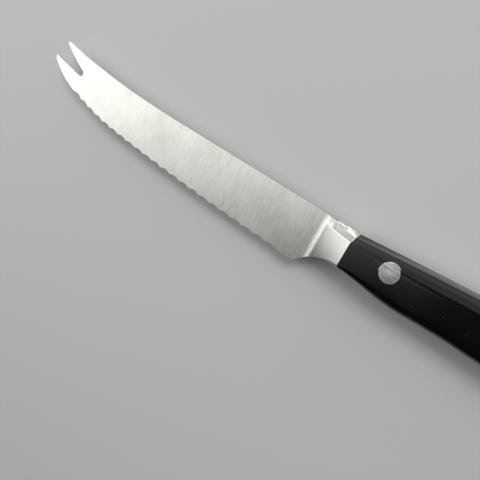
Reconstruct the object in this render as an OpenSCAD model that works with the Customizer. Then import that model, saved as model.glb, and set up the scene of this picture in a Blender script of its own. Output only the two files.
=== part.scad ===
/* [Blade] */
// Distance from the handle joint to the lower fork point
reach = 151.8; // [130:0.1:175]
// Height of the spine over the joint's base line
spine_y = 10; // [9:0.1:12]
// Depth of the heel corner under the base line
heel_y = -9.15; // [-11:0.05:-8]
// Distance of the heel corner ahead of the handle joint
heel_back = 15.3; // [14.5:0.1:18]
// Thickness of the spine at the bolster
spine_t = 2; // [1.7:0.1:2.6]
// Thickness of the spine at the fork
fork_t = 1.4; // [1.2:0.1:1.6]
// Thickness of the edge at the heel, before the teeth are ground
edge_t = 0.6; // [0.5:0.05:0.8]
// Length of spine, behind the fork point, that sweeps up
sweep_len = 71.3; // [60:0.1:85]
// Radius of the spine's upward sweep
sweep_r = 470; // [420:10:700]
// Length of edge, ahead of the heel, that stays straight
straight_len = 20.7; // [15:0.1:30]
// Radius of the tooth line's long bend
edge_r = 1140; // [1000:10:1600]
// Length of edge, behind the fork point, that bends more
curve_len = 45.5; // [40:0.1:55]
// Radius of that bend
curve_r = 143; // [130:1:180]

/* [Teeth] */
// Pitch of the teeth
tooth_pitch = 5.13; // [4.8:0.01:5.6]
// Length of plain edge between the fork point and the foremost tooth
plain_tip = 17.3; // [15:0.1:22]
// Shortest plain edge between the last tooth and the heel
plain_heel = 5.5; // [4:0.1:9]
// Depth of a scallop seen from the side
scallop_depth = 0.8; // [0.5:0.05:1]
// Angle between a ground scallop and the blade's face
grind_angle = 18; // [14:1:26]

/* [Fork] */
// Distance of the upper fork point behind the lower one
tine_step = 4.5; // [3:0.1:6]
// Depth of the gap between the tines, to the centre of its root
gap_depth = 17.5; // [15:0.1:19]
// Drop of the gap's root centre under the lower fork point
root_drop = 1; // [0.8:0.05:1.4]
// Radius of the gap's root
root_r = 1.35; // [1.1:0.05:1.5]
// Radius of the fork points
point_r = 0.35; // [0.25:0.05:0.45]
// Bulge of the upper tine's inner edge
tine_bulge = 0.4; // [0:0.05:0.6]
// Length of the lower tine's rounded front
tine_front = 12.8; // [10:0.1:14]
// Radius of the lower tine's rounded front
tine_front_r = 37; // [32:0.5:50]

/* [Bolster] */
// Length of the bolster's sloping faces, ahead of the joint
bolster_len = 9.6; // [8:0.1:12]
// Length of the hollow between the blade and those faces
hollow_len = 3.6; // [3:0.1:4.2]
// Radius of that hollow
hollow_r = 6.6; // [6:0.1:8]
// Radius of the finger notch behind the heel
notch_r = 19.5; // [18:0.1:24]
// Fall of the slope beside the back's flat strip
slope_h = 0.95; // [0.6:0.05:1.3]
// Height of the bevel below that slope
bevel_h = 1.75; // [1.4:0.05:2.2]
// Depth of that bevel
bevel_d = 2.1; // [1.6:0.1:2.6]
// Size of the rounding along the bevel's edges
bevel_round = 0.35; // [0.2:0.05:0.6]
// Rounding of the lower edges at the joint
low_round = 0.8; // [0.5:0.1:1.5]
// Width of the broken edge round the joint
rim_w = 0.25; // [0.1:0.05:0.5]
// Depth of that broken edge
rim_d = 0.12; // [0.05:0.01:0.2]

/* [Handle] */
// Length of the handle scales
handle_len = 112; // [104:1:122]
// Thickness over both scales
handle_t = 13; // [12:0.5:15]
// Thickness of the tang between the scales
tang_t = 2.2; // [1.8:0.1:3.2]
// Depth of the handle's lower corner at the joint under the base line
handle_low = 1.3; // [0.9:0.1:1.7]
// Rise of the back for each millimetre of its straight front
back_slope = 0.083; // [0.06:0.001:0.1]
// Length of the back's straight front
back_straight = 34; // [28:1:40]
// Radius of the back's bend down to the butt
back_r = 283; // [260:1:340]
// Length behind the joint over which the belly turns down
dip_len = 3; // [2:0.5:4]
// Fall of the belly, from there, for each millimetre
belly_fall = 0.15; // [0.12:0.005:0.18]
// Distance of the belly's bend from the joint
belly_from = 11; // [10:0.5:13]
// Length of the belly's bend
belly_len = 11; // [9:0.5:13]
// Rise of the belly, behind its bend, for each millimetre
belly_rise = 0.063; // [0.04:0.001:0.08]
// Distance from the joint at which the belly begins to run level
level_from = 28; // [25:1:32]
// Length over which it turns level
level_len = 10; // [8:1:14]
// Distance of the waist's bend from the joint
waist_from = 48; // [44:1:54]
// Radius of the bend up to the waist
waist_r = 320; // [290:10:400]
// Length of the hook at the butt
hook_len = 34; // [30:1:38]
// Radius of the hook's bend down
hook_r = 40; // [36:1:50]
// Length of the rounded butt
butt_len = 9; // [7:0.5:11]
// Rounding of the scales' lower edges where the hand holds them
grip_round = 3.2; // [2.4:0.1:3.8]
// Distance from the joint at which the lower edges have that rounding
belly_round_at = 18; // [14:1:26]
// Height of the bevel along the back where the hand holds it
grip_bevel_h = 2.6; // [2.2:0.1:3.2]
// Depth of that bevel
grip_bevel_d = 2.4; // [2.2:0.1:2.8]
// Size of the rounding along that bevel's edges
grip_bevel_round = 1.6; // [1.2:0.1:1.7]
// Distance from the joint at which the back has that bevel
grip_bevel_at = 30; // [20:1:40]

/* [Rivets] */
// Distance of the front rivet from the joint
rivet_front = 13.6; // [11:0.1:16]
// Distance of the rear rivet from the butt
rivet_back = 22.6; // [20:0.1:26]
// Diameter of a rivet's head
rivet_head_d = 6.6; // [5.5:0.1:7.5]
// Thickness of a rivet's head
rivet_head_h = 1.8; // [1.2:0.1:2.4]
// Rounding of a rivet head's rim
rivet_rim_r = 0.3; // [0.1:0.05:0.5]
// Diameter of a rivet's sleeve
rivet_sleeve_d = 4.4; // [3.8:0.1:4.8]
// Diameter of a rivet's pin
rivet_pin_d = 2.4; // [1.8:0.1:2.8]
// Length left free in the sleeve past the pin's end
rivet_free = 0.5; // [0.2:0.1:1]
// Clearance between a rivet and what it goes through
rivet_gap = 0.05; // [0.02:0.01:0.1]

/* [Hidden] */

mid_z = handle_t / 2;
tang_half = tang_t / 2;
spine_half = spine_t / 2;
// Least overlap of solids that are one piece, and least overrun of a cut
lap = 0.02;

// Height of a curve that leaves its tangent with one radius
function bend(run, r) = pow(max(0, run), 2) / (2 * r);
// Height of a line that turns by a slope over one length and then runs straight
function turned(x, from, len, turn) = (bend(x - from, 1) - bend(x - from - len, 1)) * turn / len;

// Spine and tooth line by their distance from the joint
function spine_at(d) = spine_y + bend(d - (reach - sweep_len), sweep_r);
function edge_at(d) = heel_y + bend(d - heel_back - straight_len, edge_r)
    + bend(d - (reach - curve_len), curve_r) + bend(d - (reach - tine_front), tine_front_r);

// Half thickness of the blade, falling towards the fork and towards the edge
fall_x = (spine_t - fork_t) / 2 / (reach - bolster_len);
fall_y = (spine_t - edge_t) / 2 / (spine_y - heel_y);
function half_t(d, y) = spine_half - fall_x * (d - bolster_len) - fall_y * (spine_y - y);

// Tooth points, counted from the fork
tooth_first = reach - plain_tip;
tooth_count = floor((tooth_first - heel_back - plain_heel) / tooth_pitch);
function tooth_at(k) = tooth_first - k * tooth_pitch;

// Finger notch: its circle goes through the heel corner and the handle's lower corner
notch_chord = [heel_back, -handle_low - heel_y];
notch_mid = [-heel_back, heel_y - handle_low] / 2;
notch_rise = sqrt(notch_r * notch_r - notch_chord * notch_chord / 4);
notch_c = notch_mid + [notch_chord.y, -notch_chord.x] / norm(notch_chord) * notch_rise;
function notch_at(x) = notch_c.y + sqrt(notch_r * notch_r - pow(x - notch_c.x, 2));

// Handle in side view, closed at the butt by a rounded end of which nearly the whole share is drawn
end_share = 0.996;
back_power = 2.6;
low_power = 3;
side_power = 2.4;
function closed(x, len, p) = pow(1 - pow(min(max(0, (x - handle_len + len) / len), end_share), p), 1 / p);
function back_line(x) = spine_y + back_slope * x - bend(x - back_straight, back_r);
function low_line(x) = -handle_low - turned(x, 0, dip_len, belly_fall)
    + turned(x, belly_from, belly_len, belly_fall + belly_rise) - turned(x, level_from, level_len, belly_rise)
    + bend(x - waist_from, waist_r) - bend(x - (handle_len - hook_len), hook_r);
toe_len = 0.8 * butt_len;
butt_mid = (back_line(handle_len) + low_line(handle_len - toe_len)) / 2;
function back_at(x) = butt_mid + (back_line(x) - butt_mid) * closed(x, butt_len, back_power);
function low_at(x) = butt_mid + (low_line(x) - butt_mid) * closed(x, toe_len, low_power);
function side_at(x) = tang_half + (mid_z - tang_half) * closed(x, butt_len / 2, side_power);
front_len = 24;
front_steps = 12;
long_steps = 18;
butt_steps = 9;
stations = concat(
    [for (i = [0:front_steps - 1]) front_len * i / front_steps],
    [for (i = [0:long_steps - 1]) front_len + (handle_len - butt_len - front_len) * i / long_steps],
    [for (i = [0:butt_steps]) handle_len - butt_len + butt_len * sin(90 * i / butt_steps)]);

// Rivet places, at a share of the handle's height that falls from one rivet to the next
rivet_share = 0.613;
share_step = 0.04;
function rivet_x(i) = rivet_front + i * (handle_len - rivet_front - rivet_back) / 2;
function rivet_y(i) = let (x = rivet_x(i))
    low_at(x) + (rivet_share - i * share_step) * (back_at(x) - low_at(x));
module at_rivet(i) translate([rivet_x(i), rivet_y(i), 0]) children();

// The origin is on the resting face, between the front and middle rivets
module placed() translate([-(rivet_x(0) + rivet_x(1)) / 2, -spine_y / 2, 0]) children();

// A corner between two lines, rounded over a length of each
corner_steps = 5;
function corner(before, at, after, size) =
    let (from = at + size * (before - at) / norm(before - at),
         to = at + size * (after - at) / norm(after - at))
    [for (i = [0:corner_steps]) let (t = i / corner_steps)
        (1 - t) * (1 - t) * from + 2 * t * (1 - t) * at + t * t * to];

// One side of a cross-section as [y, z] points: the rounded lower edge, the side, and the bevel
// between its foot and its head, up to the edge of the back's flat strip at the brow
low_steps = 7;
function side_points(low, low_out, low_r, foot, head, brow, size) =
    let (most = 0.48 * norm(head - foot), r = min(size, most))
    concat(
        [for (i = [0:low_steps]) let (a = 90 * i / low_steps)
            [low + low_r * (1 - cos(a)), low_out - low_r * (1 - sin(a))]],
        corner([low, low_out], foot, head, r),
        corner(foot, head, brow, r),
        [brow]);

// A solid through cross-sections that all have the same number of points
module loft(places, sections) {
    n = len(sections[0]);
    last = len(places) - 1;
    points = [for (i = [0:last]) for (p = sections[i]) [places[i], p.x, p.y]];
    walls = [for (i = [0:last - 1]) for (j = [0:n - 1]) let (a = i * n + j, b = i * n + (j + 1) % n)
        each [[a, b, a + n], [b, b + n, a + n]]];
    polyhedron(points = points, faces = concat(walls,
        [[for (j = [n - 1:-1:0]) j]], [[for (j = [0:n - 1]) last * n + j]]));
}

// How far the bolster has grown from the blade's thickness to the handle's, from 0 to 1
hollow_rise = hollow_r - sqrt(hollow_r * hollow_r - hollow_len * hollow_len);
bolster_start = -bolster_len - hollow_len;
full_rise = mid_z - spine_half;
function rise_at(x) = x < -bolster_len
    ? hollow_r - sqrt(hollow_r * hollow_r - pow(x - bolster_start, 2))
    : x < -rim_w
        ? hollow_rise + (full_rise - hollow_rise) * (x + bolster_len) / (bolster_len - rim_w)
        : full_rise - rim_d * (x + rim_w) / rim_w;
hollow_steps = 8;
slope_steps = 6;
bolster_places = concat(
    [for (i = [0:hollow_steps - 1]) bolster_start + hollow_len * i / hollow_steps],
    [for (i = [0:slope_steps]) -bolster_len + (bolster_len - rim_w) * i / slope_steps],
    [0]);

// The bolster's side stands on the blade's face, and its back strip turns from spine to tang
function bolster_side(x) =
    let (rise = rise_at(x),
         lift = rise / full_rise,
         tuck = lap * (1 - lift),
         grown = max(lap, min(1, rise / bevel_d)),
         low = notch_at(x) - lap,
         high = spine_y - tuck,
         head_y = high - slope_h * grown,
         foot_y = high - slope_h - bevel_h)
    side_points(low, side_out(x, low, lift) - tuck, low_round * max(lap, lift),
                [foot_y, side_out(x, foot_y, lift) - tuck],
                [head_y, side_out(x, head_y, lift) - bevel_d * grown - tuck],
                [high, blend(half_t(-x, spine_y), tang_half, lift) - tuck],
                bevel_round * grown);
function side_out(x, y, lift) = blend(half_t(-x, y), mid_z, lift);
function blend(a, b, t) = a + (b - a) * t;

module bolster() translate([0, 0, mid_z]) loft(bolster_places,
    [for (x = bolster_places) let (side = bolster_side(x), n = len(side))
        concat(side, [for (i = [n - 1:-1:0]) [side[i].x, -side[i].y]])]);

// Height of the lower fork point's centre over the end of the edge line, in point radii
point_lift = 2.7;
module blade_outline() {
    low_y = edge_at(reach) + point_lift * point_r;
    upper = [-reach + tine_step, spine_at(reach - tine_step)];
    root = [-reach + gap_depth, low_y - root_drop];
    inner = root + [0, root_r];
    start = upper + [point_r, -2 * point_r];
    sunk = [-bolster_len + 1, spine_y - 1];
    straight = reach - sweep_len;
    polygon(concat(
        [sunk, [bolster_start, spine_y]],
        [for (i = [0:10]) let (d = straight + (sweep_len - tine_step) * i / 10) [-d, spine_at(d)]],
        [for (i = [0:6]) let (t = i / 6) start + t * (inner - start) - [0, 4 * tine_bulge * t * (1 - t)]],
        [for (a = [70:-20:-70]) root + root_r * [cos(a), sin(a)]],
        [root - [root_r / 2, root_r]],
        [for (a = [60:30:180]) [-reach + point_r, low_y] + point_r * [cos(a), sin(a)]],
        [for (i = [0:8]) let (d = reach - point_r - (plain_tip - point_r) * i / 8) [-d, edge_at(d)]],
        [for (k = [1:tooth_count]) [-tooth_at(k), edge_at(tooth_at(k))]],
        [[-heel_back - straight_len / 2, heel_y], [-heel_back, heel_y], [sunk.x, heel_y]]));
}

// Everything outside one ground face of the blade
module beyond_face(side) {
    turn_y = atan(-fall_x);
    turn_x = atan(fall_y * cos(turn_y));
    translate([0, 0, mid_z]) mirror([0, 0, side]) translate([-bolster_len, spine_y, spine_half])
        rotate([turn_x, turn_y, 0]) translate([-2 * reach, -2 * reach, 0])
            cube([4 * reach, 4 * reach, handle_t]);
}

// One scallop, ground across the right side of the edge by a wheel
module scallop(k) {
    front = tooth_at(k);
    rear = tooth_at(k + 1);
    d = (front + rear) / 2;
    y = (edge_at(front) + edge_at(rear)) / 2 + scallop_depth;
    turn = atan((edge_at(rear) - edge_at(front)) / tooth_pitch);
    wheel_r = tooth_pitch * tooth_pitch / (8 * scallop_depth * sin(grind_angle));
    run_out = 3 * spine_t / tan(grind_angle);
    translate([-d, y, mid_z + half_t(d, y)]) rotate([0, 0, turn]) rotate([-90 - grind_angle, 0, 0])
        translate([0, wheel_r, -run_out / 2]) cylinder(h = run_out, r = wheel_r, $fn = 90);
}

module blade() difference() {
    translate([0, 0, mid_z - spine_t]) linear_extrude(2 * spine_t) blade_outline();
    beyond_face(0);
    beyond_face(1);
    for (k = [0:tooth_count - 1]) scallop(k);
}

module notch() translate([notch_c.x, notch_c.y, -lap])
    cylinder(h = handle_t + 2 * lap, r = notch_r, $fn = 120);

module tang() translate([0, 0, mid_z - tang_half]) linear_extrude(tang_t) polygon(concat(
    [[-1, spine_y - 1]], [for (x = stations) [x, back_at(x)]],
    [for (i = [len(stations) - 1:-1:0]) [stations[i], low_at(stations[i])]], [[-1, -handle_low + 1]]));

module rivet_holes() {
    for (i = [0:2]) at_rivet(i) translate([0, 0, -lap])
        cylinder(h = handle_t + 2 * lap, d = rivet_sleeve_d + 2 * rivet_gap, $fn = 48);
}

module head_seats(z) {
    for (i = [0:2]) at_rivet(i) translate([0, 0, z])
        cylinder(h = rivet_head_h + lap, d = rivet_head_d + 2 * rivet_gap, $fn = 64);
}

module blade_forging() color("silver") placed() difference() {
    union() {
        blade();
        bolster();
        tang();
    }
    notch();
    rivet_holes();
}

// The scales carry on the bolster's section at the joint and grow rounder towards the grip
function grow(x, len) = sin(90 * min(1, x / len));
function scale_side(x) =
    let (g = grow(x, grip_bevel_at),
         out = side_at(x),
         size = (out - tang_half) / (mid_z - tang_half),
         head_y = back_at(x) - size * slope_h)
    side_points(low_at(x), out, size * blend(low_round, grip_round, grow(x, belly_round_at)),
                [head_y - size * blend(bevel_h, grip_bevel_h, g), out],
                [head_y, out - size * blend(bevel_d, grip_bevel_d, g)],
                [back_at(x), tang_half],
                size * blend(bevel_round, grip_bevel_round, g));

module scale_half() loft(stations,
    [for (x = stations) concat([[low_at(x), tang_half]], scale_side(x))]);

module handle_scale_left() color("#242426") placed() difference() {
    translate([0, 0, mid_z]) scale_half();
    rivet_holes();
    head_seats(handle_t - rivet_head_h);
}

module handle_scale_right() color("#242426") placed() difference() {
    translate([0, 0, mid_z]) mirror([0, 0, 1]) scale_half();
    rivet_holes();
    head_seats(-lap);
}

// A rivet's head lies in its seat, with a rounded rim on the outside at z = 0
module rivet_head() {
    r = rivet_head_d / 2;
    rim = [for (a = [0:30:90]) [r - rivet_rim_r + rivet_rim_r * sin(a), rivet_rim_r * (1 - cos(a))]];
    h = rivet_head_h - rivet_gap;
    rotate_extrude($fn = 64) polygon(concat([[0, 0]], rim, [[r, h], [0, h]]));
}

module rivet_sleeve(i) color("gainsboro") placed() at_rivet(i) difference() {
    union() {
        translate([0, 0, handle_t]) mirror([0, 0, 1]) rivet_head();
        translate([0, 0, rivet_head_h + rivet_gap])
            cylinder(h = handle_t - 2 * rivet_head_h, d = rivet_sleeve_d, $fn = 48);
    }
    translate([0, 0, -lap]) cylinder(h = handle_t - rivet_head_h, d = rivet_pin_d + 2 * rivet_gap, $fn = 48);
}

module rivet_pin(i) color("gainsboro") placed() at_rivet(i) {
    rivet_head();
    cylinder(h = handle_t - rivet_head_h - rivet_free, d = rivet_pin_d, $fn = 48);
}

module rivet_sleeve_front() rivet_sleeve(0);
module rivet_sleeve_middle() rivet_sleeve(1);
module rivet_sleeve_rear() rivet_sleeve(2);
module rivet_pin_front() rivet_pin(0);
module rivet_pin_middle() rivet_pin(1);
module rivet_pin_rear() rivet_pin(2);

blade_forging();
handle_scale_left();
handle_scale_right();
rivet_sleeve_front();
rivet_sleeve_middle();
rivet_sleeve_rear();
rivet_pin_front();
rivet_pin_middle();
rivet_pin_rear();
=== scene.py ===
from math import pi, radians
import bpy
from mathutils import Matrix, Vector


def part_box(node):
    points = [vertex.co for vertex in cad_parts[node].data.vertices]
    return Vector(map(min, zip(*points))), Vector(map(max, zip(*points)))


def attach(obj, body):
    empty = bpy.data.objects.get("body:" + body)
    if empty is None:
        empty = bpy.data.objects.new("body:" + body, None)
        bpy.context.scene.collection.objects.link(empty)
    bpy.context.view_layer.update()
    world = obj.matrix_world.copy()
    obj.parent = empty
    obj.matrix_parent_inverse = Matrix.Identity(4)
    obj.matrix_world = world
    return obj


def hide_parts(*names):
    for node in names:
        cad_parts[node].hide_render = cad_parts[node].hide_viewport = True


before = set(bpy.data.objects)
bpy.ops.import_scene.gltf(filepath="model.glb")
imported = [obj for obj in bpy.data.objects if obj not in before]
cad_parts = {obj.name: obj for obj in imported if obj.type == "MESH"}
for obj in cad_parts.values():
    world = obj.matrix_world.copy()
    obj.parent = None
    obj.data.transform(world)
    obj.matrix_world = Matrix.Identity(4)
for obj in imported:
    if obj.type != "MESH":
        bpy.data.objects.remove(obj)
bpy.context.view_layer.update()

MM = 0.001
# Corners of the CAD meshes that lie closer than this are one corner
WELD = 0.002 * MM
# Faces that meet at less than these angles, in degrees, are shaded as one curved face
BLADE_ANGLE = 8
SCALE_ANGLE = 25
# Weight at which a corner's normal follows the largest face at it, so that flats stay flat
LARGE_FACES_LEAD = 100

# The handle joint, on the middle plane of the blade, is where the photograph's measures start
BASE_LINE = -5 * MM
JOINT = Vector((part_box("handle_scale_left")[0].x, BASE_LINE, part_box("handle_scale_left")[1].z / 2))
# The bolster's sloping faces lie ahead of the joint, and its hollow ahead of them
BOLSTER_LEN = 9.6 * MM
HOLLOW_LEN = 3.6 * MM
BOLSTER_START = JOINT.x - BOLSTER_LEN
HOLLOW_START = BOLSTER_START - HOLLOW_LEN

# The camera, from the fit to the photograph: its place from the handle joint, and its axes
CAMERA_AT = Vector((31.92, 31.95, 142.97)) * MM
CAMERA_LOOKS = Vector((-0.40624, -0.27715, -0.87072))
CAMERA_UP = Vector((-0.52725, 0.84936, -0.02436))
IMAGE_PX = 480
FOCAL_PX = 480
SENSOR_MM = 36

# The darkest and the lightest colour of each finish
STEEL_TINTS = (0.62, 0.61, 0.57), (0.82, 0.81, 0.76)
RIVET_TINTS = (0.42, 0.42, 0.42), (0.74, 0.74, 0.735)
PLASTIC_TINTS = (0.001, 0.001, 0.0012), (0.015, 0.015, 0.015)
FLOOR_COLOUR = (0.72, 0.72, 0.71, 1)

# Share that smears have in each finish's colour
STEEL_SMEAR_SHARE = 0.25
RIVET_SMEAR_SHARE = 0.3
PLASTIC_SMEAR_SHARE = 0.1
# Share of the bolster's colour that is one even tone, and that tone
EVEN_SHARE = 0.8
EVEN_TONE = 0.6

# Steel, on the blade and on the bolster: its roughness, how much the marks change that, and how
# much of the marks' height shows
STEEL_ROUGH = 0.30, 0.2
STEEL_GRAIN = 0.14, 0.04
STEEL_DEPTH = 1.0, 0.12
# How much smears change the steel's roughness
STEEL_SMEARED = 0.04
# Rivets and plastic: roughness, and how much lines, smears and dust raise it
RIVET_ROUGH = 0.11
RIVET_GRAIN = 0.12
PLASTIC_ROUGH = 0.17
PLASTIC_SMEARED = 0.05
PLASTIC_DUSTED = 0.2
PLASTIC_IOR = 1.48

# Heights, in metres, of the marks on the steel and the rivets and of the plastic's skin
STEEL_MARKS = 0.000005
RIVET_MARKS = 0.000006
PLASTIC_SKIN = 0.000002
# Waves of the plastic's skin in a metre
SKIN_WAVES = 1600.0

# Radius of a dust speck, as a share of the cell that it lies in
SPECK_RADIUS = 0.17
# Scale of the deeper grinding marks, as a share of the fine lines' scale
DEEP_SCALE = 0.55


def new_group(name, inputs, output):
    """A node group with named number inputs and one number output."""
    group = bpy.data.node_groups.new(name, "ShaderNodeTree")
    for label in inputs:
        group.interface.new_socket(label, in_out="INPUT", socket_type="NodeSocketFloat")
    group.interface.new_socket(output, in_out="OUTPUT", socket_type="NodeSocketFloat")
    given = group.nodes.new("NodeGroupInput")
    out = group.nodes.new("NodeGroupOutput")
    return group, given.outputs, out.inputs[output]


def use(tree, group, **values):
    """The output of a group that is placed in a material with its own values."""
    node = tree.nodes.new("ShaderNodeGroup")
    node.node_tree = group
    for label, value in values.items():
        node.inputs[label.replace("_", " ")].default_value = value
    return node.outputs[0]


def add(tree, kind, **values):
    """A node with its settings and its socket values."""
    node = tree.nodes.new(kind)
    for key, value in values.items():
        if hasattr(node, key):
            setattr(node, key, value)
        else:
            node.inputs[key.replace("_", " ")].default_value = value
    return node


def math(tree, operation, a, b):
    """The output of a math node on two sockets or numbers."""
    node = add(tree, "ShaderNodeMath", operation=operation)
    for socket, value in zip(node.inputs, (a, b)):
        if isinstance(value, (int, float)):
            socket.default_value = value
        else:
            tree.links.new(value, socket)
    return node.outputs["Value"]


def spread(tree, value, low, high):
    """A value's place in a range, from 0 at the low end to 1 at the high end, and never beyond."""
    node = add(tree, "ShaderNodeMapRange", clamp=True, From_Min=low, From_Max=high)
    tree.links.new(value, node.inputs["Value"])
    return node.outputs["Result"]


def mixed(tree, factor, a, b):
    """A number between two, by a factor from 0 to 1."""
    return math(tree, "ADD", a, math(tree, "MULTIPLY", factor, math(tree, "SUBTRACT", b, a)))


def raised(tree, value, cause, amount):
    """A number raised by an amount as its cause goes from 0 to 1."""
    return math(tree, "ADD", value, math(tree, "MULTIPLY", cause, amount))


def swayed(tree, value, cause, amount):
    """A number moved from half an amount down to half an amount up as its cause goes from 0 to 1."""
    return raised(tree, value, math(tree, "SUBTRACT", cause, 0.5), amount)


def place(tree):
    """The X, Y and Z of Object coordinates."""
    coords = add(tree, "ShaderNodeTexCoord").outputs["Object"]
    parts = add(tree, "ShaderNodeSeparateXYZ")
    tree.links.new(coords, parts.inputs["Vector"])
    return parts.outputs


def stretched(tree, parts, x, y, z):
    """Object coordinates times three scales, for streaks that run one way."""
    node = add(tree, "ShaderNodeCombineXYZ")
    for socket, part, scale in zip(node.inputs, parts, (x, y, z)):
        tree.links.new(math(tree, "MULTIPLY", part, scale), socket)
    return node.outputs["Vector"]


def noise(tree, vector, detail=2.0, rough=0.5):
    """Noise over scaled coordinates, around one half."""
    node = add(tree, "ShaderNodeTexNoise", Scale=1.0, Detail=detail, Roughness=rough)
    tree.links.new(vector, node.inputs["Vector"])
    return node.outputs["Fac"]


def grind_group():
    """Grinding marks: fine lines and a few deeper ones, around one half."""
    labels = ("Lines X", "Lines Y", "Lines Z")
    group, given, out = new_group("grinding_marks", (*labels, "Deep Share"), "Lines")
    parts = place(group)
    scales = [given[label] for label in labels]
    deep_scales = [math(group, "MULTIPLY", scale, DEEP_SCALE) for scale in scales]
    fine = noise(group, stretched(group, parts, *scales), detail=3.0, rough=0.6)
    deep = spread(group, noise(group, stretched(group, parts, *deep_scales)), low=0.6, high=0.75)
    cut = math(group, "MULTIPLY", deep, given["Deep Share"])
    group.links.new(math(group, "SUBTRACT", fine, cut), out)
    return group


def smear_group():
    """Broad, soft unevenness, as handling and wiping leave it, from 0 to 1."""
    group, given, out = new_group("handling_smears", ("Size",), "Smear")
    broad = noise(group, stretched(group, place(group), *[given["Size"]] * 3), detail=3.0, rough=0.55)
    group.links.new(spread(group, broad, low=0.3, high=0.7), out)
    return group


def speck_group():
    """Sparse specks of dust, 1 on a speck and 0 beside it."""
    group, given, out = new_group("dust_specks", ("Size", "Amount"), "Specks")
    cells = add(group, "ShaderNodeTexVoronoi", Scale=1.0, Randomness=1.0)
    group.links.new(stretched(group, place(group), *[given["Size"]] * 3), cells.inputs["Vector"])
    tint = add(group, "ShaderNodeSeparateColor")
    group.links.new(cells.outputs["Color"], tint.inputs["Color"])
    chosen = math(group, "LESS_THAN", tint.outputs["Red"], given["Amount"])
    near = math(group, "LESS_THAN", cells.outputs["Distance"], SPECK_RADIUS)
    group.links.new(math(group, "MULTIPLY", chosen, near), out)
    return group


def new_material(name):
    """A material with its node tree and its Principled shader."""
    material = bpy.data.materials.new(name)
    material.use_nodes = True
    return material, material.node_tree, material.node_tree.nodes["Principled BSDF"]


def tinted(tree, value, dark, light):
    """A colour between two, by a value from 0 to 1."""
    node = add(tree, "ShaderNodeMix", data_type="RGBA")
    tree.links.new(value, node.inputs["Factor"])
    colour_sockets = [s for s in node.inputs if s.type == "RGBA"]
    colour_sockets[0].default_value = (*dark, 1)
    colour_sockets[1].default_value = (*light, 1)
    return [s for s in node.outputs if s.type == "RGBA"][0]


def bumped(tree, shader, height, strength, depth):
    """Gives a shader a bump that is as deep, in metres, as the depth where the height is 1."""
    bump = add(tree, "ShaderNodeBump", Strength=strength, Distance=depth)
    tree.links.new(height, bump.inputs["Height"])
    tree.links.new(bump.outputs["Normal"], shader.inputs["Normal"])


def forged_steel(marks, smears):
    """Blade ground across its length, and a bolster with a finer, closer finish."""
    material, tree, shader = new_material("forged_steel")
    shader.inputs["Metallic"].default_value = 1.0
    on_bolster = spread(tree, place(tree)["X"], HOLLOW_START, BOLSTER_START)
    blade_lines = use(tree, marks, Lines_X=2300.0, Lines_Y=150.0, Lines_Z=150.0, Deep_Share=0.1)
    bolster_lines = use(tree, marks, Lines_X=500.0, Lines_Y=2600.0, Lines_Z=500.0, Deep_Share=0.1)
    lines = mixed(tree, on_bolster, blade_lines, bolster_lines)
    smear = use(tree, smears, Size=70.0)
    tone = spread(tree, mixed(tree, STEEL_SMEAR_SHARE, lines, smear), low=0.35, high=0.65)
    shade = mixed(tree, math(tree, "MULTIPLY", on_bolster, EVEN_SHARE), tone, EVEN_TONE)
    tree.links.new(tinted(tree, shade, *STEEL_TINTS), shader.inputs["Base Color"])
    rough = mixed(tree, on_bolster, *STEEL_ROUGH)
    rough = swayed(tree, rough, lines, mixed(tree, on_bolster, *STEEL_GRAIN))
    rough = swayed(tree, rough, smear, STEEL_SMEARED)
    tree.links.new(rough, shader.inputs["Roughness"])
    relief = math(tree, "MULTIPLY", lines, mixed(tree, on_bolster, *STEEL_DEPTH))
    bumped(tree, shader, relief, strength=1.0, depth=STEEL_MARKS)
    return material


def black_plastic(smears, specks):
    """Polished moulded plastic, with a faint unevenness and a little dust."""
    material, tree, shader = new_material("black_plastic")
    shader.inputs["IOR"].default_value = PLASTIC_IOR
    smear = use(tree, smears, Size=95.0)
    dust = use(tree, specks, Size=700.0, Amount=0.02)
    shade = math(tree, "MAXIMUM", math(tree, "MULTIPLY", smear, PLASTIC_SMEAR_SHARE), dust)
    tree.links.new(tinted(tree, shade, *PLASTIC_TINTS), shader.inputs["Base Color"])
    rough = raised(tree, PLASTIC_ROUGH, smear, PLASTIC_SMEARED)
    tree.links.new(raised(tree, rough, dust, PLASTIC_DUSTED), shader.inputs["Roughness"])
    skin = noise(tree, stretched(tree, place(tree), *[SKIN_WAVES] * 3))
    bumped(tree, shader, skin, strength=0.5, depth=PLASTIC_SKIN)
    return material


def rivet_steel(marks, smears):
    """Rivet heads ground flush along the handle."""
    material, tree, shader = new_material("rivet_steel")
    shader.inputs["Metallic"].default_value = 1.0
    lines = use(tree, marks, Lines_X=120.0, Lines_Y=2400.0, Lines_Z=300.0, Deep_Share=0.5)
    smear = use(tree, smears, Size=330.0)
    shade = spread(tree, mixed(tree, RIVET_SMEAR_SHARE, lines, smear), low=0.25, high=0.7)
    tree.links.new(tinted(tree, shade, *RIVET_TINTS), shader.inputs["Base Color"])
    tree.links.new(raised(tree, RIVET_ROUGH, lines, RIVET_GRAIN), shader.inputs["Roughness"])
    bumped(tree, shader, lines, strength=1.0, depth=RIVET_MARKS)
    return material


def dress(obj, material):
    """Gives an object one material, in place of those that it has."""
    obj.data.materials.clear()
    obj.data.materials.append(material)


def select_only(obj):
    """Selects one object and makes it the active one."""
    bpy.ops.object.select_all(action="DESELECT")
    obj.select_set(True)
    bpy.context.view_layer.objects.active = obj


def keep_crease(mesh, x):
    """Marks the edges that lie across the part at one place, so that smooth shading stops there."""
    for edge in mesh.edges:
        if all(abs(mesh.vertices[i].co.x - x) < WELD for i in edge.vertices):
            edge.use_edge_sharp = True


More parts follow.
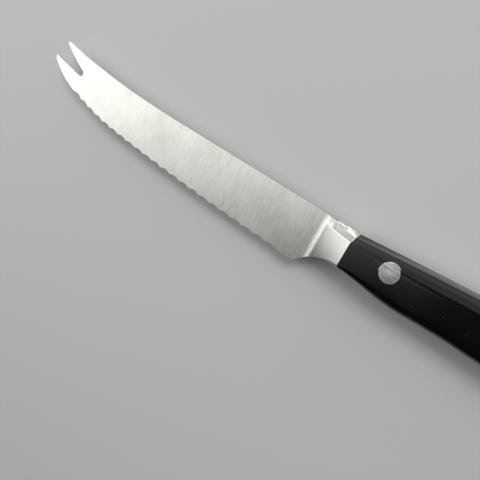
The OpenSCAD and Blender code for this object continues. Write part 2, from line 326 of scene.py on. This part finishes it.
def smooth_copy(node, material, angle, crease=None):
    """Shows a welded copy of a CAD node in its place, with smooth curved faces and sharp corners."""
    piece = bpy.data.objects.new(f"{node}_shown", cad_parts[node].data.copy())
    bpy.context.scene.collection.objects.link(piece)
    select_only(piece)
    bpy.ops.object.mode_set(mode="EDIT")
    bpy.ops.mesh.select_all(action="SELECT")
    bpy.ops.mesh.remove_doubles(threshold=WELD)
    bpy.ops.object.mode_set(mode="OBJECT")
    if piece.data.has_custom_normals:
        bpy.ops.mesh.customdata_custom_splitnormals_clear()
    if crease is not None:
        keep_crease(piece.data, crease)
    bpy.ops.object.shade_smooth_by_angle(angle=radians(angle), keep_sharp_edges=True)
    weigh = piece.modifiers.new("face_weights", "WEIGHTED_NORMAL")
    weigh.keep_sharp = True
    weigh.weight = LARGE_FACES_LEAD
    bpy.ops.object.modifier_apply(modifier=weigh.name)
    dress(piece, material)
    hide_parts(node)
    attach(piece, "root")


def floor():
    """The pale floor that the knife lies on."""
    bpy.ops.object.select_all(action="DESELECT")
    bpy.ops.mesh.primitive_plane_add(size=6, location=(0, 0, 0))
    plane = bpy.context.object
    plane.name = "floor"
    material, _, shader = new_material("pale_floor")
    shader.inputs["Base Color"].default_value = FLOOR_COLOUR
    shader.inputs["Roughness"].default_value = 0.9
    shader.inputs["Specular IOR Level"].default_value = 0.2
    dress(plane, material)


def softbox(name, centre, along, across, length, width, radiance, in_gloss=True, in_diffuse=True):
    """A rectangular light whose sides run along two directions, shining against their cross product."""
    data = bpy.data.lights.new(name, "AREA")
    data.shape = "RECTANGLE"
    data.size = length
    data.size_y = width
    data.energy = radiance * pi * length * width
    light = bpy.data.objects.new(name, data)
    bpy.context.scene.collection.objects.link(light)
    x_axis = Vector(along).normalized()
    z_axis = x_axis.cross(Vector(across)).normalized()
    turn = Matrix((x_axis, z_axis.cross(x_axis), z_axis)).transposed()
    light.matrix_world = Matrix.Translation(centre) @ turn.to_4x4()
    light.visible_camera = False
    light.visible_glossy = in_gloss
    light.visible_diffuse = in_diffuse


def studio():
    """Soft lights, two cards that are only seen reflected, and one light that isn't reflected."""
    world = bpy.data.worlds.new("studio")
    bpy.context.scene.world = world
    world.use_nodes = True
    world.node_tree.nodes["Background"].inputs["Color"].default_value = (1, 1, 1, 1)
    world.node_tree.nodes["Background"].inputs["Strength"].default_value = 0.04
    lengthwise = (1, 0, 0)
    softbox("window_light", (-0.695, 0.186, 0.884), (0.967, 0.27, 0.45), (-0.317, 0.941, 0.118),
            length=1.1, width=1.0, radiance=1.2)
    softbox("side_light", (-0.965, 0.16, 0.38), (0.2165, 0.976, 0), (-0.36, 0.08, -0.93),
            length=0.84, width=0.66, radiance=1.3)
    softbox("back_light", (0.0, 0.95, 0.1), lengthwise, (0, 0.1, -0.995),
            length=1.6, width=0.5, radiance=0.9)
    softbox("high_back_light", (0.0, 0.72, 0.65), lengthwise, (0, 0.67, -0.74),
            length=1.4, width=0.62, radiance=0.7)
    softbox("near_card", (0.0, 0.020, 0.002), lengthwise, (0, -1, 0),
            length=0.5, width=0.016, radiance=1.1, in_diffuse=False)
    softbox("far_card", (0.0, 0.395, 0.002), lengthwise, (0, -1, 0),
            length=1.2, width=0.6, radiance=0.9, in_diffuse=False)
    softbox("floor_light", (0.3, 0.7, 0.95), lengthwise, (0, 0.8, -0.6),
            length=0.4, width=0.4, radiance=8.0, in_gloss=False)
    bpy.context.scene.view_settings.view_transform = "Standard"


def camera():
    """The camera that was fitted to the photograph."""
    data = bpy.data.cameras.new("camera")
    data.sensor_width = SENSOR_MM
    data.lens = SENSOR_MM * FOCAL_PX / IMAGE_PX
    data.clip_start = 10 * MM
    eye = bpy.data.objects.new("camera", data)
    bpy.context.scene.collection.objects.link(eye)
    looks = CAMERA_LOOKS.normalized()
    right = looks.cross(CAMERA_UP).normalized()
    turn = Matrix((right, right.cross(looks), -looks)).transposed()
    eye.matrix_world = Matrix.Translation(JOINT + CAMERA_AT) @ turn.to_4x4()
    bpy.context.scene.camera = eye


grinding_marks = grind_group()
handling_smears = smear_group()
dust_specks = speck_group()
steel = forged_steel(grinding_marks, handling_smears)
plastic = black_plastic(handling_smears, dust_specks)
rivets = rivet_steel(grinding_marks, handling_smears)

smooth_copy("blade_forging", steel, BLADE_ANGLE, BOLSTER_START)
for side in ("left", "right"):
    smooth_copy(f"handle_scale_{side}", plastic, SCALE_ANGLE)
for spot in ("front", "middle", "rear"):
    dress(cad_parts[f"rivet_sleeve_{spot}"], rivets)
    dress(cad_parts[f"rivet_pin_{spot}"], rivets)

floor()
studio()
camera()
